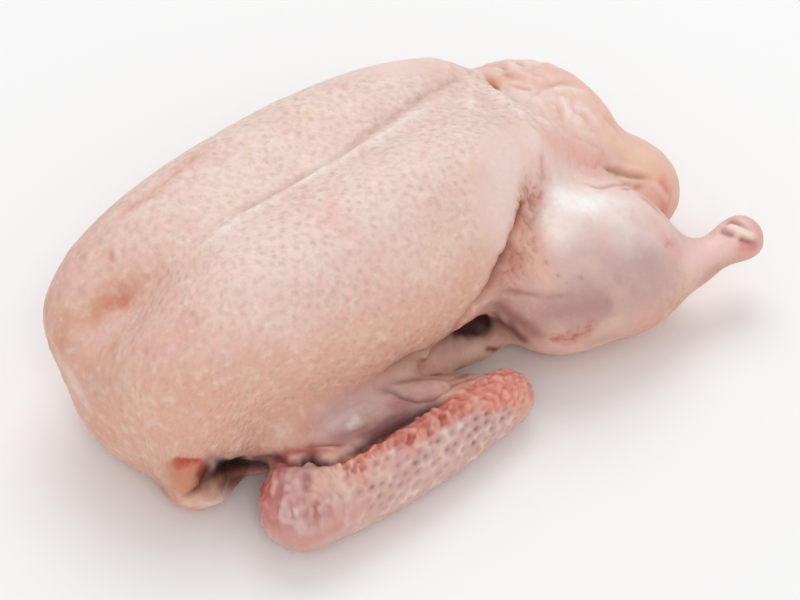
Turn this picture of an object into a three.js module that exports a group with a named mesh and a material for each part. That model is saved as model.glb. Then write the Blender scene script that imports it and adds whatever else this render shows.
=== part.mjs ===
// A whole raw duck, ready for the oven, lying on its back with the breast up.
// Millimetres. +X runs from the neck end to the tail, +Z is up, the duck's right side faces -Y.
// The flesh is one solid. Each muscle, limb and fold is a rounded form, and neighbouring forms
// flow into each other over a set width, the way skin bridges what lies under it.
import * as THREE from "three";
import { MarchingCubes } from "three/addons/objects/MarchingCubes.js";
import { mergeVertices } from "three/addons/utils/BufferGeometryUtils.js";

// Driving sizes
const breastLength = 263; // front of the breast to the rear end of the keel
const breastHalfWidth = 70;
const keelHeight = 105; // table to the valley along the keel
const lobeHeight = 112; // table to the top of a breast muscle
const lobeSpread = 26; // from the keel to the middle of a breast muscle
const keelShift = 4; // the keel lies a little to the bird's left
const tailShift = -20; // and the tail to its right
const drumstickRadius = 31;
const calfRadius = 21.5;
const shankRadius = 9;
const shoulderRadius = 18;
const wristRadius = 21;
const elbowRadius = 13.5;
const farWingSetback = 31; // the left wing lies further back than the right one
const farWingInset = 7; // and closer to the body
const tableEdge = 2; // over which the flat of the back rounds off
const creaseWidth = 5.5; // over which a skin crease rounds off
const foldWidth = 11; // over which a limb's skin runs into the trunk
const muscleWidth = 23; // over which large muscles flow together

// The block of cells that the surface is sampled in
const blockCentre = new THREE.Vector3(160, 0, 56);
const blockReach = 195;
const cellSize = 6.8;
const mostTriangles = 30000;
const cornerClearance = 0.2; // keeps the surface off the grid's own corners
const mergeDistance = 1e-3;
const relaxPasses = 14;
const slopeStep = 0.4;
const leastSlope = 0.1;

const skin = new THREE.MeshStandardMaterial({ color: 0xe3bfae, roughness: 0.5, metalness: 0 });

const degree = Math.PI / 180;
const right = -1;
const left = 1;

// A superellipsoid: power 2 is an ellipsoid, and a higher power is blunter.
// pitch lifts its +X end and yaw swings that end towards +Y, in degrees.
function lump({ at, radii, power = 2, pitch = 0, yaw = 0 }) {
  const turn = new THREE.Euler(0, -pitch * degree, yaw * degree, "ZYX");
  const toLocal = new THREE.Matrix4().makeRotationFromEuler(turn).setPosition(...at).invert();
  const local = new THREE.Vector3();
  return (point) => {
    local.copy(point).applyMatrix4(toLocal);
    const [x, y, z] = [local.x / radii[0], local.y / radii[1], local.z / radii[2]].map(Math.abs);
    const level = Math.max(x ** power + y ** power + z ** power, 1e-9) ** (1 / power);
    const rise = power - 1;
    const slope = Math.hypot(x ** rise / radii[0], y ** rise / radii[1], z ** rise / radii[2]);
    return ((level - 1) * level ** rise) / Math.max(slope, 1e-6);
  };
}

// A round bar with ball ends, of radius r1 at one end and r2 at the other
function limb({ from, r1, to, r2 }) {
  const start = new THREE.Vector3(...from);
  const axis = new THREE.Vector3(...to).sub(start);
  const length = axis.length();
  axis.divideScalar(length);
  const taper = (r1 - r2) / length;
  const lean = Math.sqrt(1 - taper * taper);
  const offset = new THREE.Vector3();
  return (point) => {
    offset.copy(point).sub(start);
    const along = offset.dot(axis);
    const away = Math.sqrt(Math.max(offset.lengthSq() - along * along, 0));
    const reach = along * lean - away * taper;
    if (reach < 0) return offset.length() - r1;
    if (reach > length * lean) return Math.hypot(along - length, away) - r2;
    return away * lean + along * taper - r1;
  };
}

// Two distances joined into one, rounded over a width
function joined(a, b, width) {
  const blend = Math.max(width - Math.abs(a - b), 0) / width;
  return Math.min(a, b) - (blend * blend * width) / 4;
}

// The first form less the second, with an edge rounded over a width
function cut(a, b, width) {
  return -joined(-a, b, width);
}

// The two breast muscles on the rib cage, with the keel's valley between them
function breast() {
  const ribDepth = 45;
  const lobeDepth = 48;
  const ribs = lump({
    at: [breastLength / 2 + 3.5, 2.5, keelHeight - ribDepth],
    radii: [breastLength / 2, breastHalfWidth, ribDepth],
    power: 2.45,
    yaw: -1.5,
  });
  const lobes = [right, left].map((side) =>
    lump({
      at: [129, side * lobeSpread + keelShift, lobeHeight - lobeDepth],
      radii: [124, 37, lobeDepth],
      power: 2.25,
      pitch: 1.5,
    }),
  );
  return (point) => {
    const pair = joined(lobes[0](point), lobes[1](point), creaseWidth);
    return joined(ribs(point), pair, creaseWidth);
  };
}

// Back, base of the neck, pelvis, left hip, and the skin stretched low behind the wings
const trunkForms = [
  lump({ at: [153, 0, 40], radii: [131, 52, 42], power: 2.3 }),
  lump({ at: [49, -7, 39.5], radii: [46, 51, 41], power: 2.4, pitch: -7.5, yaw: 9 }),
  lump({ at: [248, 3, 50], radii: [54, 47, 34], power: 2.3 }),
  lump({ at: [270, 20, 40], radii: [30, 27, 25] }),
  lump({ at: [180, 2, 9], radii: [48, 56, 15], power: 2.5 }),
];

// The fat tail, and the low bulges of loose skin beside the neck
const tailForms = [
  lump({ at: [266, tailShift + 2, 29], radii: [37, 36, 25], power: 2.3 }),
  lump({ at: [292, tailShift - 12, 28], radii: [27, 28, 24] }),
];
const neckSkin = [
  lump({ at: [22, -46, 21.5], radii: [13, 12.5, 12] }),
  lump({ at: [33, -43, 9], radii: [15, 10, 7] }),
  lump({ at: [38, 36, 18], radii: [14.5, 12.5, 12.5] }),
];

// The dimple over the wishbone, along the mid-plane, and the vent
const wishboneHollow = lump({ at: [25, 3, 92], radii: [31, 11, 12], pitch: 30 });
const vent = lump({ at: [256, 5.5, 90], radii: [7, 4.5, 8] });

// Thigh, drumstick, shank and the cut hock
function leg(side, { thigh, knee, calf, ankle, hock }) {
  const upper = lump({ at: thigh, radii: [45, 32, 32], yaw: side * 8 });
  const drumstick = limb({ from: knee, r1: drumstickRadius, to: calf, r2: calfRadius });
  const taper = limb({ from: calf, r1: calfRadius, to: ankle, r2: shankRadius + 1 });
  const shank = limb({ from: ankle, r1: shankRadius, to: hock, r2: shankRadius });
  const knob = lump({ at: hock, radii: [11, 12.5, 11.5] });
  return (point) => {
    const muscle = joined(drumstick(point), taper(point), foldWidth);
    const flesh = joined(upper(point), muscle, muscleWidth);
    const bone = joined(shank(point), knob(point), creaseWidth);
    return joined(flesh, bone, creaseWidth);
  };
}

// Upper arm along the trunk, forearm folded forward from the elbow, and the tucked wing tip
function wing(side, setback, inset) {
  const place = ([x, y, z]) => [x + setback, side * (y - inset), z];
  const upperArm = limb({
    from: place([68, 56, 27]),
    r1: shoulderRadius,
    to: place([150, 76, 16]),
    r2: 9.5,
  });
  const forearm = limb({
    from: place([52, 87, 21]),
    r1: wristRadius,
    to: place([164, 92, 16.5]),
    r2: elbowRadius,
  });
  const underside = lump({ at: place([106, 92, 17]), radii: [52, 16, 16], power: 2.2 });
  const tip = limb({ from: place([132, 48, 17]), r1: 8.5, to: place([182, 61, 13]), r2: 6 });
  return (point) => ({
    upperArm: upperArm(point),
    folded: joined(joined(forearm(point), underside(point), foldWidth), tip(point), creaseWidth),
  });
}

const breastForm = breast();
const legs = [
  leg(right, {
    thigh: [234, -59, 40],
    knee: [216, -69, 36],
    calf: [248, -82, 29],
    ankle: [280, -93, 29],
    hock: [305, -97, 34],
  }),
  leg(left, {
    thigh: [230, 50, 38],
    knee: [214, 56, 32],
    calf: [248, 61, 29],
    ankle: [275, 70, 22],
    hock: [301, 76, 16],
  }),
];
const wings = [wing(right, 0, 0), wing(left, farWingSetback, farWingInset)];

// Distance from a point to the duck's skin, below zero inside
function duckDistance(point) {
  let distance = trunkForms[0](point);
  const add = (next, width) => {
    distance = joined(distance, next, width);
  };
  for (const form of trunkForms.slice(1)) add(form(point), muscleWidth);
  for (const form of tailForms) add(form(point), foldWidth);
  add(breastForm(point), creaseWidth);
  for (const form of legs) add(form(point), creaseWidth);
  for (const form of wings) {
    const { upperArm, folded } = form(point);
    add(upperArm, foldWidth);
    add(folded, creaseWidth);
  }
  for (const form of neckSkin) add(form(point), foldWidth);
  distance = cut(distance, wishboneHollow(point), foldWidth);
  distance = cut(distance, vent(point), creaseWidth);
  return cut(distance, point.z, tableEdge); // the back rests flat on the table
}

// Samples the distance at each corner of the block's cells and takes the surface out of it
function roughSurface() {
  const cells = Math.ceil((2 * blockReach) / cellSize);
  const field = new MarchingCubes(cells, skin, false, false, mostTriangles);
  field.isolation = 0;
  const point = new THREE.Vector3();
  const place = (i) => ((i - cells / 2) * 2 * blockReach) / cells;
  for (let z = 0; z < cells; z++)
    for (let y = 0; y < cells; y++)
      for (let x = 0; x < cells; x++) {
        const distance = duckDistance(point.set(place(x), place(y), place(z)).add(blockCentre));
        const clear = Math.max(Math.abs(distance), cornerClearance);
        field.setCell(x, y, z, distance < 0 ? clear : -clear);
      }
  field.update();
  const corners = field.positionArray.slice(0, field.count * 3);
  const geometry = new THREE.BufferGeometry();
  geometry.setAttribute("position", new THREE.BufferAttribute(corners, 3));
  geometry.scale(blockReach, blockReach, blockReach);
  geometry.translate(blockCentre.x, blockCentre.y, blockCentre.z);
  return mergeVertices(geometry, mergeDistance);
}

// Moves a point along the slope of the distance onto the skin
function settle(point, steps) {
  const slope = new THREE.Vector3();
  const probe = new THREE.Vector3();
  for (let step = 0; step < steps; step++) {
    for (const axis of ["x", "y", "z"]) {
      probe.copy(point);
      probe[axis] += slopeStep;
      const ahead = duckDistance(probe);
      probe[axis] -= 2 * slopeStep;
      slope[axis] = (ahead - duckDistance(probe)) / (2 * slopeStep);
    }
    point.addScaledVector(slope, -duckDistance(point) / Math.max(slope.lengthSq(), leastSlope));
  }
  return point;
}

// The corners that share an edge with each corner
function neighboursOf(geometry) {
  const index = geometry.index.array;
  const neighbours = Array.from({ length: geometry.attributes.position.count }, () => new Set());
  for (let i = 0; i < index.length; i += 3)
    for (const [a, b] of [[0, 1], [1, 2], [2, 0]]) {
      neighbours[index[i + a]].add(index[i + b]);
      neighbours[index[i + b]].add(index[i + a]);
    }
  return neighbours;
}

// Evens out the triangles: each corner goes to the middle of its neighbours and back to the skin
function relax(geometry) {
  const position = geometry.getAttribute("position");
  const neighbours = neighboursOf(geometry);
  const corner = new THREE.Vector3();
  for (let pass = 1; pass <= relaxPasses; pass++) {
    const before = position.array.slice();
    neighbours.forEach((around, i) => {
      const middle = new THREE.Vector3();
      for (const j of around) middle.add(corner.fromArray(before, 3 * j));
      settle(middle.divideScalar(around.size), pass < relaxPasses ? 1 : 3);
      position.setXYZ(i, middle.x, middle.y, Math.max(middle.z, 0));
    });
  }
  return geometry;
}

const surface = relax(roughSurface());
surface.computeBoundingBox();
const { min, max } = surface.boundingBox;
surface.translate(-(min.x + max.x) / 2, -(min.y + max.y) / 2, -min.z);
surface.computeVertexNormals();

const duck = new THREE.Mesh(surface, skin);
duck.name = "duck";

const group = new THREE.Group();
group.add(duck);

export default group;
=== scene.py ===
# A whole raw duck, ready for the oven, on its back on a pale floor.
# The CAD solid is taken as clay: it is remeshed fine, then folds, creases, wrinkles and pits
# are pushed into it along strokes, and the same strokes tint its skin.
import math
import bmesh
import bpy
import numpy as np
from mathutils import Matrix, Vector, noise
from mathutils.bvhtree import BVHTree


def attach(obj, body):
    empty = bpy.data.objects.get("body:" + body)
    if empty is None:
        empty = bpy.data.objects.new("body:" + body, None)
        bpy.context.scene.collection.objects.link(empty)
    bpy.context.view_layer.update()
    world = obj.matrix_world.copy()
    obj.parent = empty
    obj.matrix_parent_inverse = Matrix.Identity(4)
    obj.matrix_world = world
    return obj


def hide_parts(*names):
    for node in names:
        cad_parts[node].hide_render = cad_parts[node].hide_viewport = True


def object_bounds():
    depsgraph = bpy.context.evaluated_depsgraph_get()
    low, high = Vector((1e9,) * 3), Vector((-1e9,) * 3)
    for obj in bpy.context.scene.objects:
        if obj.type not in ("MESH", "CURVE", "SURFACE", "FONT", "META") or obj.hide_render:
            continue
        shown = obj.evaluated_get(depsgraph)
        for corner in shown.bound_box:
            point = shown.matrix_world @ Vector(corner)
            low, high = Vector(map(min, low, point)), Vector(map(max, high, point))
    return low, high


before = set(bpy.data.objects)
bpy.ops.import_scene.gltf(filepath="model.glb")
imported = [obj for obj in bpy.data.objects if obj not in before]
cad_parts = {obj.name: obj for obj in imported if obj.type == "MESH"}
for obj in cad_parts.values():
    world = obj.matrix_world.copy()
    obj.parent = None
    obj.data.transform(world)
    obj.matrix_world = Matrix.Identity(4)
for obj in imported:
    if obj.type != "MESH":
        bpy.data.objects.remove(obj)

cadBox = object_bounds()
mm = 0.001

# The picture is taken from the bird's right, past the neck end, looking down
picture = {
    "width": 800,  # pixels
    "height": 600,
    "target": (-12, -32.5, 45),  # mm
    "azimuth": -40,  # degrees
    "elevation": 44,
    "distance": 1170,  # mm, as the lens and the sensor
    "lens": 117,
    "sensor": 36,
}


def pictureAxes():
    a, e = math.radians(picture["azimuth"]), math.radians(picture["elevation"])
    back = Vector((math.sin(a) * math.cos(e), -math.cos(a) * math.cos(e), math.sin(e)))
    right = Vector((math.cos(a), math.sin(a), 0))
    return right, back.cross(right), back


def makeCamera():
    right, up, back = pictureAxes()
    data = bpy.data.cameras.new("pictureCamera")
    data.lens = picture["lens"]
    data.sensor_width = picture["sensor"]
    data.clip_end = 10  # m
    camera = bpy.data.objects.new("pictureCamera", data)
    place = (Vector(picture["target"]) + back * picture["distance"]) * mm
    camera.matrix_world = Matrix.Translation(place) @ Matrix((right, up, back)).transposed().to_4x4()
    bpy.context.scene.collection.objects.link(camera)
    bpy.context.scene.camera = camera
    return place


cameraPlace = makeCamera()
print("camera placed")

# The forearms lie as rods along the body, and their pits are set out along them
forearms = {
    "right": ((-108.5, -83.5, 21), (3.5, -88.5, 16.5)),  # mm, wrist to elbow
    "left": ((-77.5, 83.5, 21), (34.5, 88.5, 16.5)),
    "reach": 26,  # mm from the rod, past the outside of its skin
    "girth": 17,  # mm from the rod, where a turn round it is measured
    "apart": 70,  # mm from the middle, where the arm begins
    "underside": 7,  # mm up, below which the arm is out of sight
    # where the body's skin that lies over the arm ends: mm from the wrist, and the turn in radians
    "foldAlong": (-10, 0, 12, 20, 50, 80, 104, 118),
    "foldTurn": (-1.3, -0.75, -0.1, 0.08, -0.06, -0.2, -0.35, -2),
}

clay = {
    "seam": 0.01 * mm,  # corners closer than this are one
    "voxel": 2.56 * mm,
    "ease": 0.5,  # how far one pass moves a corner to the middle of its neighbours
    "smoothing": 4,  # passes that take the voxel steps off
    "foldCuts": 1,  # of each edge where folds will lie
    "armCuts": 2,  # and where the wings' pits will
    "evening": 2,  # passes after the cuts
}

# Where folds will lie: low and high corners in mm, and 200 is past the bird
fineBoxes = {
    "bellyAndTail": ((74, -66, 18), (200, 48, 200)),
    "rightHock": ((126, -200, -200), (200, -50, 200)),
    "leftHock": ((126, 50, -200), (200, 200, 200)),
    "rightThighCrease": ((24, -200, 8), (82, -41, 88)),
    "leftThighCrease": ((24, 47, 8), (82, 200, 88)),
    "overRightWing": ((-200, -200, 4), (45, -47, 44)),
    "overLeftWing": ((-200, 53, 4), (45, 200, 44)),
    "keel": ((-200, -2, 94), (200, 16, 200)),
    "neck": ((-200, -200, 2), (-95, -20, 42)),
}


def distanceToRod(point, rod):
    a, b = Vector(rod[0]), Vector(rod[1])
    share = min(max((point - a).dot(b - a) / (b - a).length_squared, 0), 1)
    return (point - a.lerp(b, share)).length


def onForearm(point):
    rod = forearms["right" if point.y < 0 else "left"]
    seen = abs(point.y) > forearms["apart"] and point.z > forearms["underside"]
    return seen and distanceToRod(point, rod) < forearms["reach"]


def inBox(point, low, high):
    return all(a < p < b for a, p, b in zip(low, point, high))


def amongFolds(point):
    return any(inBox(point, *box) for box in fineBoxes.values()) and not onForearm(point)


def evaluated(piece):
    graph = bpy.context.evaluated_depsgraph_get()
    return bpy.data.meshes.new_from_object(piece.evaluated_get(graph))


def evenOut(form, passes):
    for step in range(passes):
        bmesh.ops.smooth_vert(form, verts=form.verts, factor=clay["ease"], use_axis_x=True,
                              use_axis_y=True, use_axis_z=True)


def cutFiner(form, where, cuts):
    edges = [e for e in form.edges if all(where(v.co / mm) for v in e.verts)]
    bmesh.ops.subdivide_edges(form, edges=edges, cuts=cuts, use_grid_fill=True)


def makeClay(node):
    mesh = node.data.copy()
    form = bmesh.new()
    form.from_mesh(mesh)
    bmesh.ops.remove_doubles(form, verts=form.verts, dist=clay["seam"])
    form.to_mesh(mesh)
    form.free()
    piece = bpy.data.objects.new("duckSkin", mesh)
    bpy.context.scene.collection.objects.link(piece)
    rounding = piece.modifiers.new("rounding", "SUBSURF")
    rounding.levels = rounding.render_levels = 1
    evening = piece.modifiers.new("evening", "REMESH")
    evening.mode = "VOXEL"
    evening.voxel_size = clay["voxel"]
    fine = evaluated(piece)
    piece.modifiers.clear()
    form = bmesh.new()
    form.from_mesh(fine)
    evenOut(form, clay["smoothing"])
    cutFiner(form, amongFolds, clay["foldCuts"])
    cutFiner(form, onForearm, clay["armCuts"])
    evenOut(form, clay["evening"])
    bmesh.ops.triangulate(form, faces=[f for f in form.faces if len(f.verts) > 4])
    form.to_mesh(fine)
    form.free()
    fine.materials.clear()
    fine.name = "duckSkin"
    piece.data = fine
    return piece


duck = makeClay(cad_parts["duck"])
duck.data.calc_loop_triangles()
print("clay remeshed,", len(duck.data.loop_triangles), "triangles")


def perCorner(items, field):
    flat = np.empty(len(items) * 3)
    items.foreach_get(field, flat)
    return flat.reshape(-1, 3)


place = perCorner(duck.data.vertices, "co") / mm
facing = perCorner(duck.data.vertex_normals, "vector")
x, y, z = place.T.copy()  # where each corner lay before any fold, for the masks
tint = np.zeros((len(place), 3))
lift = np.zeros(len(place))  # how far each corner goes out along its normal, mm
wet = np.zeros(len(place))  # 0 is dry and 1 is moist
pores = np.ones(len(place))  # 0 is bare of them


def settle():
    # carries the lift out, no further than the solid's own box, and takes the normals anew
    low, high = np.array(cadBox) / mm
    place[:] = np.clip(place + facing * lift[:, None], low, high)
    lift[:] = 0
    duck.data.vertices.foreach_set("co", (place * mm).ravel())
    duck.data.update()
    facing[:] = perCorner(duck.data.vertex_normals, "vector")


def smoothstep(low, high, value):
    t = np.clip((value - low) / (high - low), 0, 1)
    return t * t * (3 - 2 * t)


def linear(hexColour):
    parts = [int(hexColour[i : i + 2], 16) / 255 for i in (1, 3, 5)]
    return np.array([c / 12.92 if c <= 0.04045 else ((c + 0.055) / 1.055) ** 2.4 for c in parts])


def wash(mask, hexColour):
    share = np.clip(mask, 0, 1)[:, None]
    tint[:] = tint * (1 - share) + linear(hexColour) * share


clouds = {
    "gain": 1.6,  # brings the noise to about -1 to 1
    "apart": 7.31,  # cells between the clouds of two seeds
}


def cloud(cell, seed):
    # soft noise over the skin, about -1 to 1, in cells of this size in mm
    spots = place / cell + seed * clouds["apart"]
    return clouds["gain"] * np.array([noise.noise(spot) for spot in spots.tolist()])


def folds(cell, seed, sharp=0.28):
    # 1 along the thin winding lines between a cloud's highs and lows, 0 elsewhere
    return smoothstep(sharp, 0, abs(cloud(cell, seed)))


broad, middling, small = cloud(22, 1), cloud(9, 2), cloud(4.5, 3)
unsteady = 0.6 * small + 0.6 * middling
print("noise laid out")

# Strokes are drawn on the picture and land where their sight lines meet the skin. The far
# side gets the same strokes, mirrored and moved to where its own limbs lie

brush = {
    "step": 5,  # pixels between the points that are cast
    "midline": 3.5,  # mm, y of the keel, which the far side is mirrored over
    "shake": 0.4,  # how much a stroke's width wavers
    "shakeReach": 6,  # mm, past which it wavers less
    "tips": 0.35,  # share of its strength that a long stroke has at its ends
}
# mm that the far side's copy is moved, and None means that there is no copy
trunk = (0, 0, 0)
wing = (31, -7, 0)
thigh = (-3, -10, -2)
hock = (-4, -21, -18)
skinTree = BVHTree.FromObject(duck, bpy.context.evaluated_depsgraph_get())


def skinPoint(px, py):
    right, up, back = pictureAxes()
    focal = picture["lens"] / picture["sensor"] * picture["width"]
    aim = right * (px - picture["width"] / 2) + up * (picture["height"] / 2 - py) - back * focal
    aim.normalize()
    hit = skinTree.ray_cast(cameraPlace, aim)[0]
    return hit or skinTree.find_nearest(cameraPlace + aim * picture["distance"] * mm)[0]


def drawn(points):
    line = []
    for (ax, ay), (bx, by) in zip(points, points[1:]):
        steps = max(1, round(math.hypot(bx - ax, by - ay) / brush["step"]))
        line += [(ax + (bx - ax) * i / steps, ay + (by - ay) * i / steps) for i in range(steps)]
    return np.array([skinPoint(*p) for p in line + [points[-1]]]) / mm


def mirrored(line, move):
    across = line * (1, -1, 1) + (0, 2 * brush["midline"], 0) + move
    return np.array([skinTree.find_nearest(Vector(spot) * mm)[0] for spot in across]) / mm


def feelOf(line, reach):
    # how strongly each corner feels a line: 1 on it, nothing at twice its reach, and less
    # towards the ends of a long one
    low, high = line.min(0) - 2 * reach, line.max(0) + 2 * reach
    near = np.flatnonzero(((place > low) & (place < high)).all(axis=1))
    best, spot = np.full(len(near), np.inf), np.zeros(len(near))
    run = 0
    for a, b in zip(line, line[1:]):
        along, length = b - a, np.linalg.norm(b - a)
        share = np.clip((place[near] - a) @ along / max(length ** 2, 1e-9), 0, 1)
        gap = np.linalg.norm(place[near] - a - share[:, None] * along, axis=1)
        spot = np.where(gap < best, run + share * length, spot)
        best = np.minimum(best, gap)
        run += length
    long = 3 * reach
    ends = np.minimum(spot, run - spot) / min(run / 3, long) if run > long else 1
    best *= 1 + brush["shake"] * min(1, brush["shakeReach"] / reach) * unsteady[near]
    strength = brush["tips"] + (1 - brush["tips"]) * smoothstep(0, 1, ends)
    return near, np.exp(-2 * (best / reach) ** 2) * strength


def paths(points, far):
    line = drawn(points)
    return [line] if far is None else [line, mirrored(line, far)]


def stroke(points, reach, height=0, colour=None, amount=0.5, far=trunk, shine=0, smooth=0):
    # reach and height are in mm, and the rest are the shares of colour, wetness and lost pores
    for path in paths(points, far):
        near, feel = feelOf(path, reach)
        lift[near] += height * feel
        wet[near] = np.maximum(wet[near], shine * feel)
        pores[near] *= 1 - smooth * feel
        if colour:
            share = np.minimum(amount * feel, 1)[:, None]
            tint[near] = tint[near] * (1 - share) + linear(colour) * share


def area(points, reach, far=trunk):
    # a mask over the whole skin of what lies near a line
    mask = np.zeros(len(place))
    for path in paths(points, far):
        near, feel = feelOf(path, reach)
        mask[near] = np.maximum(mask[near], feel)
    return mask


# Broad tints of the skin: cream on top, pinker and warmer down the flanks

skinTints = {
    "cream": "#eccfc4",
    "top": "#f2ddd4",
    "flank": "#e4b5a1",
    "low": "#d69c86",
    "front": "#e0ab96",
    "belly": "#f6dcd2",
    "bellyWrinkleShade": "#dca392",
    "tail": "#f3c1b1",
    "thigh": "#f2d8d0",
    "wing": "#d2aaa1",
    "wingRed": "#dd8979",
}
legs = {
    "middle": (68, 66),  # mm, x and the distance from the midline
    "radii": (50, 38),
}

# masks run from their first figure to their second, in mm, or by how far the skin faces up
wash(np.ones(len(place)), skinTints["cream"])
wash(smoothstep(0.98, 0.3, facing[:, 2] + 0.1 * broad) * smoothstep(116, 70, z), skinTints["flank"])
wash(0.9 * smoothstep(70, 15, z + 5 * broad), skinTints["low"])
# paler on the highest part of the breast: painted light from above
wash(0.45 * smoothstep(100, 108, z + broad), skinTints["top"])
wash(0.55 * smoothstep(-80, -150, x + 8 * broad), skinTints["front"])
belly = smoothstep(78, 100, x) * smoothstep(-52, -36, y)
wash(0.85 * belly, skinTints["belly"])
tail = smoothstep(108, 128, x) * smoothstep(50, 38, abs(y + 26))
wash(0.9 * tail, skinTints["tail"])
pores *= (1 - 0.85 * belly) * (1 - 0.9 * tail)
(legX, legY), (legLong, legWide) = legs["middle"], legs["radii"]
for side in (-1, 1):
    leg = np.hypot((x - legX) / legLong, (y - brush["midline"] - side * legY) / legWide)
    onLeg = smoothstep(1.15, 0.75, leg) * smoothstep(6, 40, z)
    wash(0.9 * onLeg, skinTints["thigh"])
    pores *= 1 - 0.8 * smoothstep(1.2, 1, leg)
wrinkled = belly * (1 - 0.8 * tail) * (0.7 * folds(10, 41, 0.5) + 0.3 * folds(5, 43, 0.5))
# the wrinkles are sunk, and painted shade darkens their lines
lift -= wrinkled
wash(0.45 * wrinkled, skinTints["bellyWrinkleShade"])
print("broad tints washed on")


def alongForearm(side):
    # mm along the rod from its wrist, turn about it from the top outwards, and a mask
    start, end = (np.array(p) for p in forearms[side])
    length = np.linalg.norm(end - start)
    axis = (end - start) / length
    out = np.array((0, -1 if side == "right" else 1, 0))
    out = out - axis * (out @ axis)
    out /= np.linalg.norm(out)
    up = np.cross(axis, out)
    up *= np.sign(up[2])
    gap = place - start
    along, sideways, height = gap @ axis, gap @ out, gap @ up
    over = np.maximum(np.maximum(-along, along - length), 0)
    away = np.hypot(np.hypot(sideways, height), over)
    turn = np.arctan2(sideways, height)
    inner = np.interp(along, forearms["foldAlong"], forearms["foldTurn"])
    near = smoothstep(forearms["reach"], forearms["reach"] - 3, away)
    return along, turn, near * smoothstep(-0.05, 0.1, turn - inner)


wingRods = {side: alongForearm(side) for side in ("right", "left")}
redStrips = {}
for side, (along, turn, mask) in wingRods.items():
    wash(mask, skinTints["wing"])
    lowerEdge = 0.45 + 0.8 * smoothstep(80, 112, along) + 0.25 * middling
    redStrips[side] = mask * smoothstep(0.4, -0.3, turn - lowerEdge) * smoothstep(6, 24, along)
    wash(0.95 * redStrips[side], skinTints["wingRed"])
    pores *= 1 - mask
    wet[:] = np.maximum(wet, 0.5 * mask)

# Folds and swellings between the large forms. Each stroke: picture points, reach and height
# in mm, colour and its share


def shapeKeel():
    # the valley, with painted shade along it, and the pale swelling beside it, with a painted highlight on
    # its ridge
    stroke([(228, 215), (259, 202), (309, 173), (338, 157), (361, 138), (407, 107), (465, 72)],
           2.6, -1.5, "#c59c90", 0.55, far=None)
    stroke([(204, 245), (238, 221), (269, 202), (302, 183), (326, 166), (373, 142), (430, 106)],
           4, 1.4, "#f7ece6", 0.6, far=None)


def shapeWishbone():
    # the hollow down to the neck end, its floor orange-brown and red, partly the skin's own colour and
    # partly painted shade, and its lower lip
    stroke([(158, 277), (130, 292), (102, 306), (76, 322), (66, 340)], 8, -1.4, "#dba084", 0.75,
           far=None)
    stroke([(122, 299), (96, 309)], 6, -0.8, "#c8765a", 0.85, far=None)
    stroke([(140, 312), (116, 317), (98, 322)], 4, 1.2, "#ebb9ad", 0.6, far=None)
    # painted shade down the front edge
    stroke([(62, 318), (66, 350)], 5, -0.5, "#d59a7c", 0.5, far=None)
    # small marks beside it
    stroke([(112, 345), (113, 358)], 4, 0, "#dd8f7c", 0.6, far=None)
    stroke([(110, 252), (112, 259)], 2, -0.7, "#c9875f", 0.7, far=None)
    stroke([(176, 321), (188, 307), (200, 320)], 1.6, -0.4, "#c39a83", 0.5, far=None)
    # the full corner of the breast at the neck end
    stroke([(62, 348), (72, 376), (88, 404)], 13, 4.5, far=None)
    # the far shoulder, with a pink crease along it
    stroke([(76, 248), (92, 226), (110, 208), (130, 195)], 8, 0, "#e6ae9a", 0.65, far=None)
    stroke([(118, 218), (132, 206), (150, 193), (178, 170), (206, 146)], 3.4, -1, "#e2a08e", 0.7,
           far=None)
    stroke([(126, 222), (140, 211), (158, 198)], 2.6, 0.8, "#f5e3da", 0.5, far=None)
    # a painted highlight on the corner, where the skin is also glossier, and a line below it
    stroke([(68, 362), (76, 380), (86, 404)], 6, 0.6, "#ecd8d2", 0.8, far=None, shine=0.3)
    stroke([(86, 366), (94, 386), (100, 402)], 4, -0.4, "#cba89c", 0.4, far=None)


def shapeBreastEdge():
    # the crease before the thigh, and the red wrinkled strip in it
    stroke([(543, 182), (530, 205), (516, 240), (503, 268), (487, 293), (470, 314), (455, 330)],
           4.5, -2.6)
    strip = np.maximum(area([(530, 182), (524, 206), (517, 234), (506, 260), (492, 284)], 6),
                       area([(543, 182), (538, 206), (530, 234), (518, 262), (504, 286)], 9))
    wash(1.3 * strip, "#c97656")
    wrinkled = folds((3.2, 4.5, 11), 51, 0.35)
    lift[:] -= strip * (1.5 * wrinkled + 0.7 * small)
    wash(strip * wrinkled * 1.2, "#94452f")
    # painted shade deep in the crease
    stroke([(524, 205), (516, 234), (505, 262), (487, 293), (468, 316), (453, 332)],
           2.6, -2, "#7c3828", 0.95)
    stroke([(505, 268), (492, 288), (478, 305)], 4, 0, "#b0604a", 0.7)
    # a thin fold from it over the thigh
    stroke([(500, 292), (520, 293), (545, 297), (572, 295)], 1.6, -1.1, "#94614f", 0.7, far=thigh)
    # the crease runs on under the breast and fades, with painted shade where the breast overhangs it
    stroke([(455, 331), (438, 342), (420, 353), (400, 365), (378, 379)], 3.4, -2.6, "#7e4d3c", 0.85)
    stroke([(378, 379), (350, 400), (325, 420), (300, 436)], 4, -0.9, "#b48a82", 0.45)
    # the breast's rim at the belly, and the shallow hollow behind it
    stroke([(467, 65), (487, 82), (505, 102), (527, 120), (540, 146), (542, 180)],
           4.5, 1.2, "#f8e6df", 0.55)
    stroke([(480, 92), (498, 114), (514, 132), (525, 152), (528, 178)], 5, -0.6, "#e6c1b4", 0.3)


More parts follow.
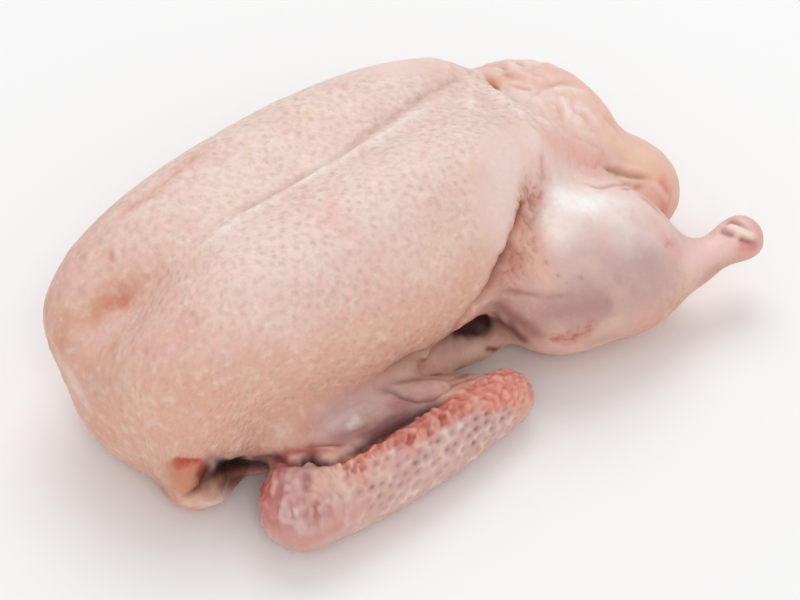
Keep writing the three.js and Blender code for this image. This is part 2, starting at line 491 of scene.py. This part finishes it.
def shapeAbdomen():
    # the vent and its lips
    stroke([(487, 73), (492, 79), (499, 90)], 5, -0.8, "#d98a5e", 1, far=None)
    # painted shade in the vent's opening
    stroke([(494, 81), (497, 90)], 3, -3.4, "#6a2c17", 1.2, far=None)
    stroke([(502, 78), (508, 84)], 2.8, 1.6, "#f1bfa2", 0.8, far=None)
    # the loose belly skin: furrows with painted shade in them, and a swelling beside each with a painted
    # highlight
    stroke([(498, 63), (507, 70), (515, 76)], 3.2, -1.6, "#d69d85", 0.85, far=None)
    stroke([(505, 60), (518, 69), (528, 77)], 3.2, 1.2, "#f9e3da", 0.5, far=None)
    stroke([(516, 86), (529, 88)], 2.4, -1.2, "#d79f92", 0.75, far=None)
    stroke([(506, 98), (516, 100)], 2.2, -1, "#dba693", 0.7, far=None)
    stroke([(520, 93), (536, 99), (548, 108)], 3.4, 1.2, "#f9e5dc", 0.5, far=None)
    stroke([(545, 85), (561, 81), (575, 83)], 2, -1.3, "#dcae9f", 0.75, far=None)
    stroke([(548, 90), (566, 88), (586, 93)], 3, 1.2, "#fdf1ea", 0.7, far=None)
    stroke([(519, 65), (531, 64)], 2, -0.7, "#dcbcb2", 0.6, far=None)
    for line in (((525, 121), (531, 127), (537, 133)), ((529, 119), (540, 124), (548, 131)),
                 ((557, 97), (562, 112), (567, 129)), ((578, 110), (588, 118), (595, 127))):
        stroke(line, 2.2, -0.9, "#dca998", 0.5)
        stroke([(px + 5, py - 2) for px, py in line], 2.4, 0.7, "#fbebe4", 0.4)
    # where the belly meets the breast, the thigh and the tail
    stroke([(541, 149), (542, 166), (546, 183)], 3.2, -1.2, "#cd958c", 0.65)
    stroke([(552, 145), (553, 165), (560, 182)], 4, 0.7, "#eec9bd", 0.5)
    stroke([(556, 146), (578, 150), (598, 162)], 16, 0, "#ebb3a6", 0.75)
    stroke([(603, 113), (610, 122), (616, 129)], 2.6, -1.1, "#eab49e", 0.6)


def shapeTail():
    # the fat top, and the creases under it
    stroke([(612, 142), (634, 152), (654, 166)], 10, 0.8, "#f3ccb2", 0.95, far=None, shine=0.3)
    stroke([(605, 167), (618, 171), (631, 176), (650, 178)], 1.8, -1.3, "#bb8c6e", 0.8, far=None)
    stroke([(612, 164), (630, 169), (648, 172)], 1.8, 0.8, "#f3cfb6", 0.5, far=None)
    stroke([(585, 183), (600, 187), (616, 184), (631, 185)], 1.8, -1, "#d38b7d", 0.7, far=None)
    stroke([(620, 189), (632, 188), (645, 186)], 1.6, -1, "#d58576", 0.75, far=None)
    stroke([(600, 178), (620, 181), (640, 182)], 2, 1, "#f5d3c6", 0.6, far=None)
    # the red rim
    stroke([(638, 192), (652, 203), (665, 217)], 5.5, -0.7, "#de9387", 0.8, far=None)
    stroke([(662, 184), (668, 196), (664, 208)], 5, 0, "#e68a80", 0.9, far=None)
    stroke([(655, 186), (666, 198)], 3, 0.7, "#f7d2c5", 0.7, far=None)


def shapeLeg():
    # dark meat showing mauve through the skin, and painted shade, browner, on the thigh's underside
    stroke([(560, 270), (600, 268), (650, 268)], 26, 0, "#d2b0aa", 0.75, far=thigh)
    stroke([(590, 248), (628, 256), (652, 262)], 13, 0, "#c0a0a0", 0.6, far=thigh)
    stroke([(510, 306), (550, 312), (600, 306), (650, 292)], 19, 0, "#b0847e", 0.85, far=thigh)
    stroke([(500, 305), (515, 318), (535, 332)], 7, 0, "#9f6a63", 0.8, far=thigh)
    stroke([(545, 338), (590, 342), (635, 330)], 7, 0, "#c89e90", 0.75, far=thigh)
    # a painted highlight on the thigh's top, where the skin is also glossier
    stroke([(566, 202), (590, 204), (618, 212)], 13, 0.4, "#fffaf7", 1.1, far=thigh, shine=0.7)
    stroke([(560, 222), (590, 232), (620, 238)], 13, 0, "#e6d2cc", 0.7, far=thigh, shine=0.4)
    stroke([(622, 214), (640, 228), (655, 240)], 6, 0.2, "#e9d8d4", 0.8, far=thigh, shine=0.6)
    stroke([(545, 215), (556, 235)], 9, 0, "#f6e6dc", 0.7, far=thigh)
    stroke([(665, 262), (672, 285), (655, 312)], 7, 0, "#d3b0a7", 0.7, far=thigh)
    stroke([(524, 240), (536, 262), (548, 284)], 8, 0, "#e6bba6", 0.8, far=thigh)
    # a few follicles
    for px, py in ((545, 262), (557, 275), (565, 282), (580, 277), (533, 250)):
        stroke([(px, py), (px + 2, py + 1)], 1, -0.4, "#a08072", 0.6, far=thigh)
    # the crinkled red patch underneath
    crinkled = area([(556, 340), (570, 338), (588, 330)], 6, far=thigh)
    lines = folds((4.5, 12, 3.2), 61, 0.35)
    lift[:] -= crinkled * lines
    wash(crinkled * (0.35 + 0.6 * lines), "#b85f4d")
    # the shank
    stroke([(690, 262), (712, 248), (740, 232)], 13, 0, "#f3cdc8", 0.95, far=hock, shine=0.5, smooth=1)
    stroke([(694, 284), (716, 270), (738, 258)], 4, 0, "#b98c86", 0.6, far=hock, smooth=1)
    stroke([(674, 258), (680, 272)], 2.4, -0.4, "#caa099", 0.4, far=hock)


def shapeHock():
    # the cut joint: its cap, and pale tendons with dark gaps between them; the middle tendon also carries
    # a painted highlight
    stroke([(730, 208), (744, 212), (757, 222)], 5.5, 1, "#efb4b0", 1, far=hock, shine=0.8, smooth=1)
    stroke([(724, 219), (736, 222), (750, 229)], 2.2, -1.8, "#a86462", 0.85, far=hock, smooth=1)
    stroke([(722, 227), (736, 229), (750, 236), (757, 242)], 3.4, 1.4, "#fbe5d8", 1, far=hock, smooth=1)
    stroke([(722, 231), (731, 235)], 2.4, -1.4, "#a9686a", 0.8, far=hock, smooth=1)
    stroke([(730, 242), (742, 243)], 3, 0.8, "#efcfbe", 0.8, far=hock, smooth=1)
    stroke([(742, 240), (755, 244)], 2.4, -1.8, "#a85850", 0.9, far=hock, smooth=1)
    stroke([(742, 249), (753, 248)], 4.5, 0.6, "#e09890", 0.95, far=hock, shine=0.6, smooth=1)
    stroke([(758, 228), (762, 240)], 5, 0, "#eab0a8", 0.8, far=hock, smooth=1)


def shapeWingWeb():
    # the web of thin wet skin between the body and the forearm
    stroke([(392, 392), (412, 389), (434, 387)], 7, 2.4, far=wing)
    stroke([(304, 448), (334, 435), (364, 418), (394, 405), (432, 394)], 14, 0, "#b5878a", 1,
           far=wing, smooth=1)
    # a paler patch painted as light on the web, where it is also glossier
    stroke([(330, 424), (352, 410), (372, 400)], 9, 0.4, "#cdb0ae", 0.85, far=wing, shine=0.7, smooth=1)
    stroke([(380, 384), (415, 386), (446, 384)], 4, 0.6, "#cba6a2", 0.9, far=wing, shine=0.5, smooth=1)
    # its folds, the lower one widened by painted shade
    stroke([(376, 386), (386, 391), (400, 397), (417, 400), (432, 397), (444, 392)],
           2.4, -1.6, "#875d5e", 0.8, far=wing, smooth=1)
    stroke([(346, 440), (364, 436), (382, 428), (404, 416), (425, 404)], 8, -0.7, "#6c3c40", 0.95,
           far=wing, smooth=1)
    stroke([(297, 446), (322, 444), (350, 443)], 2.2, -1.2, "#8d4c4d", 0.8, far=wing)
    stroke([(266, 454), (300, 452), (335, 452)], 4, 0.6, "#ad5a52", 0.95, far=wing, smooth=1)
    # painted shade in the deep gap where it goes under the forearm and under the skin that hangs over the
    # wrist
    stroke([(345, 456), (358, 448), (372, 439), (388, 429), (404, 420), (421, 409), (446, 397)],
           3, -3.4, "#4a1a19", 1, far=wing)
    stroke([(256, 461), (275, 457), (286, 461), (298, 462), (310, 455), (320, 461), (340, 460),
            (350, 452)], 2.8, -2.8, "#521a18", 1, far=wing)
    stroke([(304, 457), (318, 460)], 3.4, -1.8, "#300d0c", 1, far=wing)
    # glints
    stroke([(350, 425), (356, 419)], 2.4, 0.5, "#e0d0d0", 0.9, far=wing, shine=1)
    stroke([(322, 432), (342, 418), (362, 405)], 3, 0.6, "#d6bdbb", 0.6, far=wing, shine=0.8)


def shapeWrist():
    # red and wet on the outside, with a painted highlight down its middle
    stroke([(262, 474), (263, 500), (273, 526), (292, 542)], 10, 0, "#cf6f6a", 0.95, far=wing,
           shine=0.9)
    stroke([(268, 466), (290, 465), (306, 468)], 6, 0, "#a9625f", 0.9, far=wing, shine=0.8)
    stroke([(288, 486), (291, 505), (300, 524)], 6, 0.5, "#d3aeac", 0.95, far=wing, shine=1)
    stroke([(296, 510), (299, 518)], 2.2, 0.5, "#ead2cf", 0.9, far=wing, shine=1)
    # furrows beside it
    stroke([(306, 468), (307, 482), (303, 498)], 3, -1, "#8d5e66", 0.8, far=wing, shine=0.7)
    stroke([(317, 496), (317, 510), (315, 524)], 2.4, -0.9, "#ad5f5b", 0.75, far=wing, shine=0.7)
    stroke([(278, 488), (276, 506)], 3, -0.5, "#b86a66", 0.6, far=wing, shine=0.8)
    stroke([(305, 543), (330, 532), (350, 520)], 5, 0, "#cf867c", 0.6, far=wing)
    # crumpled skin over all of it
    crumpled = area([(270, 476), (282, 506), (310, 512), (334, 494)], 15, far=wing)
    streaks = folds((4, 5, 13), 71, 0.75)
    lift[:] -= crumpled * (0.7 * streaks - 0.4 * small)
    wash(crumpled * streaks * 0.6, "#b25f5d")
    wash(crumpled * smoothstep(0.1, 0.7, small) * 0.5, "#e3c3be")


def shapeWingEdge():
    # upright ribs on the forearm's upper edge near the wrist
    ribs = area([(322, 476), (340, 472), (362, 466), (385, 455)], 5, far=wing)
    upright = folds((2.6, 9, 9), 81, 0.5)
    lift[:] -= ribs * (1.3 * upright - 0.4)
    wash(ribs * upright * 0.7, "#a8564b")
    wash(ribs * (1 - upright) * 0.6, "#e6ab9b")
    stroke([(338, 464), (342, 475)], 2.4, 1.5, "#e9ad9f", 0.8, far=wing)
    stroke([(347, 462), (349, 478)], 1.2, -1.5, "#a4544a", 0.8, far=wing)
    # notches further along it
    for px, py, long in ((410, 430, 14), (428, 424, 8), (442, 415, 7), (380, 442, 9), (395, 437, 10)):
        stroke([(px, py), (px + 2, py + long)], 1.4, -1.3, "#a84c3e", 0.75, far=wing)
        stroke([(px + 5, py), (px + 7, py + long)], 1.6, 0.9, "#ea9f8e", 0.6, far=wing)
    # the dark line behind the elbow
    stroke([(447, 391), (455, 384), (475, 377), (493, 371)], 1.6, -0.8, "#b0635b", 0.7, far=wing)
    stroke([(450, 382), (470, 374), (500, 367)], 2.8, 0, "#9a6664", 0.75, far=wing)


def shapeTuckedTip():
    # the tan tip of the wing, tucked between the breast and the forearm
    stroke([(424, 350), (419, 362), (425, 373)], 5, 3, far=wing)
    stroke([(428, 374), (445, 371)], 3, 1.2, far=wing)
    stroke([(388, 386), (404, 378), (430, 366), (452, 355), (474, 345)], 11, 0, "#dcb3a0", 1.2,
           far=wing, smooth=1)
    stroke([(452, 356), (468, 346), (484, 342)], 6, 0.3, "#dfb0a0", 0.9, far=wing, smooth=1)
    stroke([(396, 369), (420, 356), (446, 341)], 3.2, 0, "#94705c", 0.45, far=wing, smooth=1)
    # its cut end and its lower edge
    stroke([(488, 349), (496, 350)], 3, -0.4, "#7d4038", 0.95, far=wing, smooth=1)
    stroke([(490, 343), (498, 345)], 1.8, 0.8, "#cf9d86", 0.8, far=wing)
    stroke([(384, 384), (404, 382), (424, 380)], 1.8, -0.8, "#7a4c43", 0.6, far=wing, smooth=1)
    # painted shadow in the pocket behind it
    stroke([(450, 337), (464, 328), (480, 323), (496, 326)], 9, -3, "#3c130f", 1.6, far=wing, smooth=1)
    stroke([(500, 322), (512, 330), (522, 338)], 6, 0, "#7a4542", 0.9, far=wing, smooth=1)


def shapeNeck():
    # the lump at the cut neck end, painted shade in the dark fold beside it, and the flap of skin
    stroke([(178, 478), (188, 484), (194, 476)], 10, 1.2, "#c98666", 0.95, far=None, smooth=1)
    stroke([(216, 472), (236, 470), (262, 470)], 10, -3.2, "#35140f", 1.2, far=None, smooth=1)
    stroke([(208, 490), (226, 484), (250, 478)], 7, -0.6, "#704333", 1, far=None, smooth=1)
    stroke([(222, 470), (238, 469), (256, 471)], 5, -2.4, "#1c0907", 1, far=None, smooth=1)
    stroke([(190, 503), (208, 503), (228, 498)], 4.8, 0.8, "#f3e0d3", 1, far=None, smooth=1)
    # the red line above the lump, and the crease down its side
    stroke([(167, 464), (180, 462), (200, 462), (205, 468)], 2.4, -1.8, "#b93c25", 1, far=None)
    stroke([(180, 466), (198, 467)], 3, 0.3, "#c95a3e", 0.7, far=None)
    stroke([(207, 466), (208, 478), (200, 488), (186, 496)], 2.8, -2.4, "#6f2b20", 0.95, far=None)
    stroke([(213, 463), (216, 469)], 2.8, 0.8, "#a98583", 0.9, far=None, smooth=1)


# some strokes lie on others, so the order counts
for shape in (shapeKeel, shapeWishbone, shapeBreastEdge, shapeAbdomen, shapeTail, shapeLeg, shapeHock,
              shapeTuckedTip, shapeWingWeb, shapeWrist, shapeWingEdge, shapeNeck):
    shape()
settle()
print("folds shaped")

# Pits of the wing feathers, a jittered grid of dents in leaning rows

pits = {
    "pitch": (6, 3.9),  # mm along and round the forearm
    "hollow": (2.3, 1.5),  # mm, reach of the soft hollow round each pit
    "pit": (1.05, 0.65),  # and of the pit itself
    "depth": (0.6, 0.4),  # mm, of the hollow and of the pit
    "lean": 0.25,  # mm that a row slides along for each mm round
    "jitter": 0.34,  # cells
    "lots": 64,  # cells after which the jitter repeats
    "unlike": 0.35,  # how much the pits differ in size
    "hollowShade": "#b98d88",
    "shade": "#8a6460",
    "redShade": "#b9574a",  # on the red strip
    "net": "#ecd6cc",  # fat showing between the pits
    "knob": "#f0b0a0",  # swellings of the red strip
    "knobGap": "#b9564a",
    "elbow": "#efae9f",
}
unevenness = {
    "broad": 0.25,  # mm
    "middling": 0.12,
    "above": 6,  # mm over the floor, and less below
}


def jitteredGrid(u, v, seed):
    # from each corner to the nearest point of a jittered grid, in cells, and the point's lot
    lots = pits["lots"]
    table = np.random.default_rng(seed).uniform(-1, 1, (3, lots, lots))
    best = np.full(len(u), np.inf)
    gapU, gapV, lot = np.zeros(len(u)), np.zeros(len(u)), np.zeros(len(u))
    for di in (-1, 0, 1):
        for dj in (-1, 0, 1):
            j = np.floor(v) + dj
            shift = 0.5 * (j % 2)
            i = np.floor(u - shift) + di
            row, column = i.astype(int) % lots, j.astype(int) % lots
            aimU = u - (i + 0.5 + shift + pits["jitter"] * table[0, row, column])
            aimV = v - (j + 0.5 + pits["jitter"] * table[1, row, column])
            distance = np.hypot(aimU, aimV)
            closer = distance < best
            best = np.where(closer, distance, best)
            gapU = np.where(closer, aimU, gapU)
            gapV = np.where(closer, aimV, gapV)
            lot = np.where(closer, table[2, row, column], lot)
    return gapU, gapV, lot


def dentWing(side, seed):
    along, turn, mask = wingRods[side]
    red = redStrips[side]
    plain = 1 - red
    pitchU, pitchV = pits["pitch"]
    around = turn * forearms["girth"]  # mm
    gapU, gapV, lot = jitteredGrid((along + pits["lean"] * around) / pitchU, around / pitchV, seed)
    size = 1 + pits["unlike"] * lot
    wide, narrow = (np.hypot(gapU * pitchU / reachU, gapV * pitchV / reachV) / size
                    for reachU, reachV in (pits["hollow"], pits["pit"]))
    here = mask * smoothstep(6, 28, along + 8 * middling) * smoothstep(1.9, 1.2, turn + 0.3 * middling)
    hollow, pit = np.exp(-wide ** 2) * here, np.exp(-narrow ** 2) * here
    lift[:] -= size * (pits["depth"][0] * hollow + pits["depth"][1] * pit) * (1 + 0.3 * red)
    net = smoothstep(0.9, 1.7, wide) * mask * smoothstep(0, 20, along)
    wash(np.clip(0.3 + 0.6 * small, 0, 0.8) * net * plain, pits["net"])
    wash(0.3 * hollow * plain, pits["hollowShade"])
    wash((0.35 + 0.25 * lot) * 1.5 * pit * plain, pits["shade"])
    wash((0.4 * pit + 0.3 * hollow) * red, pits["redShade"])
    wash(0.6 * red * smoothstep(92, 110, along), pits["elbow"])
    knobbly = np.abs(small) - 0.3
    lift[:] += red * knobbly + 0.35 * mask * plain * cloud(3, 91)
    wash(red * smoothstep(0.15, 0.5, knobbly) * 0.5, pits["knob"])
    wash(red * smoothstep(0.05, -0.25, knobbly) * 0.4, pits["knobGap"])


dentWing("right", 11)
dentWing("left", 12)
rises = unevenness["middling"] * middling + unevenness["broad"] * broad
lift += rises * smoothstep(0, unevenness["above"], z)
settle()
print("wing pits and unevenness done")

# A flat grid in mm is laid over the skin, as round a capsule, for the pores and fine wrinkles.
# Its ends bend to the neck and to the tail, so that it closes up in folds there

poreGrid = {
    "girth": 60,  # mm from the axis, where the grid is true to size
    # the axis in mm. The grid is rounded off past its two middle points
    "x": (-158, -95, 105, 158),
    "y": (-44, 3.5, 3.5, -26),
    "z": (18, 46, 46, 34),
}


def skinGrid():
    start, end = poreGrid["x"][1:3]
    girth = poreGrid["girth"]
    sideways = y - np.interp(x, poreGrid["x"], poreGrid["y"])
    up = z - np.interp(x, poreGrid["x"], poreGrid["z"])
    away = np.maximum(np.hypot(sideways, up), 1)
    u = np.where(x < start, start - girth * np.arctan2(start - x, away), x)
    u = np.where(x > end, end + girth * np.arctan2(x - end, away), u)
    return np.c_[u, np.arctan2(sideways, up) * girth, np.zeros(len(x))]


def store(mesh):
    grid = mesh.attributes.new("skinGrid", "FLOAT_VECTOR", "POINT")
    grid.data.foreach_set("vector", skinGrid().ravel())
    colour = mesh.attributes.new("skinTint", "FLOAT_COLOR", "POINT")
    colour.data.foreach_set("color", np.c_[tint, np.ones(len(tint))].ravel())
    for name, values in (("wet", wet), ("pores", pores)):
        layer = mesh.attributes.new(name, "FLOAT", "POINT")
        layer.data.foreach_set("value", np.clip(values, 0, 1))
    mesh.shade_smooth()


store(duck.data)


def addNode(tree, kind, inputs=None, **settings):
    # an input takes a plain value, another node's output, or a node for its first output
    node = tree.nodes.new("ShaderNode" + kind)
    for name, value in settings.items():
        setattr(node, name, value)
    for name, value in (inputs or {}).items():
        source = value.outputs[0] if isinstance(value, bpy.types.Node) else value
        if isinstance(source, bpy.types.NodeSocket):
            tree.links.new(source, node.inputs[name])
        else:
            node.inputs[name].default_value = value
    return node


def newMaterial(name):
    material = bpy.data.materials.new(name)
    material.use_nodes = True
    tree = material.node_tree
    tree.nodes.clear()
    shader = addNode(tree, "BsdfPrincipled")
    addNode(tree, "OutputMaterial", {"Surface": shader})
    return material, tree, shader


skinLook = {
    "poreSpacing": (5.2, 4.2),  # mm between follicles, along and across their rows
    "poreScatter": 0.75,
    "rowTurn": 38,  # degrees that the rows lean from the keel
    # how far from a follicle, in spacings, it starts to show and shows fully, its share and colour
    "dimple": (0.5, 0.02, 0.1, "#cba190"),
    "follicle": (0.36, 0.04, 0.26, "#a9897b"),
    "darkPatch": 35.7,  # mm across the patches where follicles are dark
    # patterns: mm across, detail, the noise from which they start and are full, share and colour
    "blotch": (29.4, 3, 0.48, 0.78, 0.4, "#e3a18f"),
    "beige": (21.3, 3, 0.5, 0.75, 0.35, "#ecd2b8"),
    "fatFleck": (4.35, 4, 0.45, 0.8, 0.35, "#f8ece3"),
    "mottle": (3.03, 3, 0.42, 0.7, 0.3, "#cba190"),
    "wrinkle": (8, 2.4),  # mm along and across the fine wavy wrinkles
    "crumple": 5.26,  # mm across, where there are no pores
    "grain": 1.613,  # mm, coarser than real so that it shows
    "heights": (-0.3, 0.75, 1, 0.2),  # mm, of dimple, wrinkle, crumple and grain
    "dry": 0.46,  # roughness
    "moist": 0.2,
}


def pluckedSkin():
    # Plucked poultry skin, thin over white fat: dimples in leaning rows, blotches of pink,
    # fine wavy wrinkles, and a moist satin gloss that is sharper where the skin is stretched
    material, tree, shader = newMaterial("pluckedPoultrySkin")
    grid = addNode(tree, "Attribute", attribute_name="skinGrid").outputs["Vector"]
    colour = addNode(tree, "Attribute", attribute_name="skinTint").outputs["Color"]
    wetness = addNode(tree, "Attribute", attribute_name="wet").outputs["Fac"]
    pored = addNode(tree, "Attribute", attribute_name="pores").outputs["Fac"]
    spot = addNode(tree, "TexCoord").outputs["Object"]
    lean = (0, 0, math.radians(skinLook["rowTurn"]))
    turned = addNode(tree, "Mapping", {"Vector": grid, "Rotation": lean})

    # one cell round each follicle, and a lot that makes some darker
    along, across = skinLook["poreSpacing"]
    rows = addNode(tree, "Mapping", {"Vector": turned, "Scale": (1 / along, 1 / across, 1)})
    cells = addNode(tree, "TexVoronoi", {"Vector": rows, "Scale": 1,
                                         "Randomness": skinLook["poreScatter"]}, voronoi_dimensions="2D")
    lot = addNode(tree, "SeparateColor", {"Color": cells.outputs["Color"]})
    patches = addNode(tree, "TexNoise", {"Vector": spot, "Scale": 1 / (skinLook["darkPatch"] * mm),
                                         "Detail": 2})

    # masks, from 0 to 1 between two values of a source
    masks = {
        "dimple": (cells, *skinLook["dimple"][:2]),
        "follicle": (cells, *skinLook["follicle"][:2]),
        "lot": (lot, -0.1, 1),
        "patch": (patches, 0.35, 0.65),
        "light": (addNode(tree, "RGBToBW", {"Color": colour}), 0.08, 0.35),
    }
    for name, (source, start, full) in masks.items():
        masks[name] = addNode(tree, "MapRange", {"Value": source, "From Min": start, "From Max": full},
                              interpolation_type="SMOOTHSTEP")
    masks["plump"] = pored  # where there are pores and no dark fold
    for name, factor in (("dimple", pored), ("follicle", pored), ("follicle", masks["lot"]),
                         ("follicle", masks["patch"]), ("plump", masks["light"])):
        masks[name] = addNode(tree, "Math", {0: masks[name], 1: factor}, operation="MULTIPLY")

    # patterns from centimetres down to millimetres that leave dark folds dark, then the follicles
    coats = []
    for name, mask in (("blotch", "light"), ("beige", "light"), ("fatFleck", "plump"),
                       ("mottle", "plump")):
        size, detail, start, full, most, hexColour = skinLook[name]
        pattern = addNode(tree, "TexNoise", {"Vector": spot, "Scale": 1 / (size * mm), "Detail": detail})
        shown = addNode(tree, "MapRange", {"Value": pattern, "From Min": start, "From Max": full,
                                           "To Max": most}, interpolation_type="SMOOTHSTEP")
        coats.append((shown, masks[mask], hexColour))
    for name in ("dimple", "follicle"):
        most, hexColour = skinLook[name][2:]
        coats.append((masks[name], most, hexColour))
    for shown, mask, hexColour in coats:
        share = addNode(tree, "Math", {0: shown, 1: mask}, operation="MULTIPLY")
        mixed = addNode(tree, "Mix", {0: share, 6: colour, 7: (*linear(hexColour), 1)}, data_type="RGBA")
        colour = mixed.outputs[2]
    tree.links.new(colour, shader.inputs["Base Color"])

    # relief in mm: dimples, wavy wrinkles along their rows, the looser skin's crumpling where
    # there are no pores, and a fine grain
    along, across = skinLook["wrinkle"]
    waves = addNode(tree, "Mapping", {"Vector": turned, "Scale": (1 / along, 1 / across, 1)})
    wrinkle = addNode(tree, "TexNoise", {"Vector": waves, "Scale": 1, "Detail": 2, "Distortion": 0.5})
    crumple = addNode(tree, "TexNoise", {"Vector": spot, "Scale": 1 / (skinLook["crumple"] * mm),
                                         "Detail": 5, "Distortion": 0.6})
    grain = addNode(tree, "TexNoise", {"Vector": spot, "Scale": 1 / (skinLook["grain"] * mm), "Detail": 3})
    loose = addNode(tree, "Math", {0: 1, 1: masks["plump"]}, operation="SUBTRACT")
    relief = 0
    patterns = ((masks["dimple"], 1), (wrinkle, masks["plump"]), (crumple, loose), (grain, 1))
    for (pattern, mask), height in zip(patterns, skinLook["heights"]):
        masked = addNode(tree, "Math", {0: pattern, 1: mask}, operation="MULTIPLY")
        relief = addNode(tree, "Math", {0: masked, 1: height, 2: relief}, operation="MULTIPLY_ADD")
    bump = addNode(tree, "Bump", {"Height": relief, "Strength": 0.8, "Distance": mm})
    tree.links.new(bump.outputs["Normal"], shader.inputs["Normal"])

    gloss = addNode(tree, "MapRange", {"Value": wetness, "To Min": skinLook["dry"],
                                       "To Max": skinLook["moist"]})
    tree.links.new(gloss.outputs["Result"], shader.inputs["Roughness"])
    shader.inputs["IOR"].default_value = 1.4
    shader.inputs["Subsurface Weight"].default_value = 0.15
    shader.inputs["Subsurface Radius"].default_value = (1, 0.4, 0.25)
    shader.inputs["Subsurface Scale"].default_value = 3 * mm
    return material


duck.data.materials.append(pluckedSkin())
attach(duck, "root")
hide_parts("duck")
print("skin finished")

# Floor and light

studio = {
    "floorSize": 6,  # m from the middle to each side
    "floor": "#fbfbfb",
    "floorRoughness": 0.9,
    "worldStrength": 0.62,
    "key": {"power": 11, "size": 1.4, "place": (0.6, 0.7, 1.6)},  # W, m across, m
    "fill": {"power": 6, "size": 1.8, "place": (-1, -1.3, 0.9)},
    "spark": {"power": 1.6, "size": 0.22, "place": (-0.55, -0.95, 1.15)},
}


def mattPaint():
    # Board painted matt white: an even pale ground that takes a soft shadow and has no glints
    material, tree, shader = newMaterial("mattPaintedBoard")
    shader.inputs["Base Color"].default_value = (*linear(studio["floor"]), 1)
    shader.inputs["Roughness"].default_value = studio["floorRoughness"]
    return material


def makeFloor():
    form = bmesh.new()
    bmesh.ops.create_grid(form, x_segments=1, y_segments=1, size=studio["floorSize"])
    mesh = bpy.data.meshes.new("floor")
    form.to_mesh(mesh)
    form.free()
    floor = bpy.data.objects.new("floor", mesh)
    bpy.context.scene.collection.objects.link(floor)
    mesh.materials.append(mattPaint())


def makeLight(name):
    lamp = studio[name]
    data = bpy.data.lights.new(name, "AREA")
    data.shape = "DISK"
    data.size = lamp["size"]
    data.energy = lamp["power"]
    light = bpy.data.objects.new(name, data)
    light.location = lamp["place"]
    light.rotation_euler = light.location.to_track_quat("Z", "Y").to_euler()
    bpy.context.scene.collection.objects.link(light)


def makeWorld():
    world = bpy.data.worlds.new("studio")
    world.use_nodes = True
    background = world.node_tree.nodes["Background"]
    background.inputs["Color"].default_value = (1, 1, 1, 1)
    background.inputs["Strength"].default_value = studio["worldStrength"]
    bpy.context.scene.world = world


makeFloor()
makeWorld()
for lamp in ("key", "fill", "spark"):
    makeLight(lamp)
bpy.context.scene.view_settings.view_transform = "Standard"
print("stage and light ready")
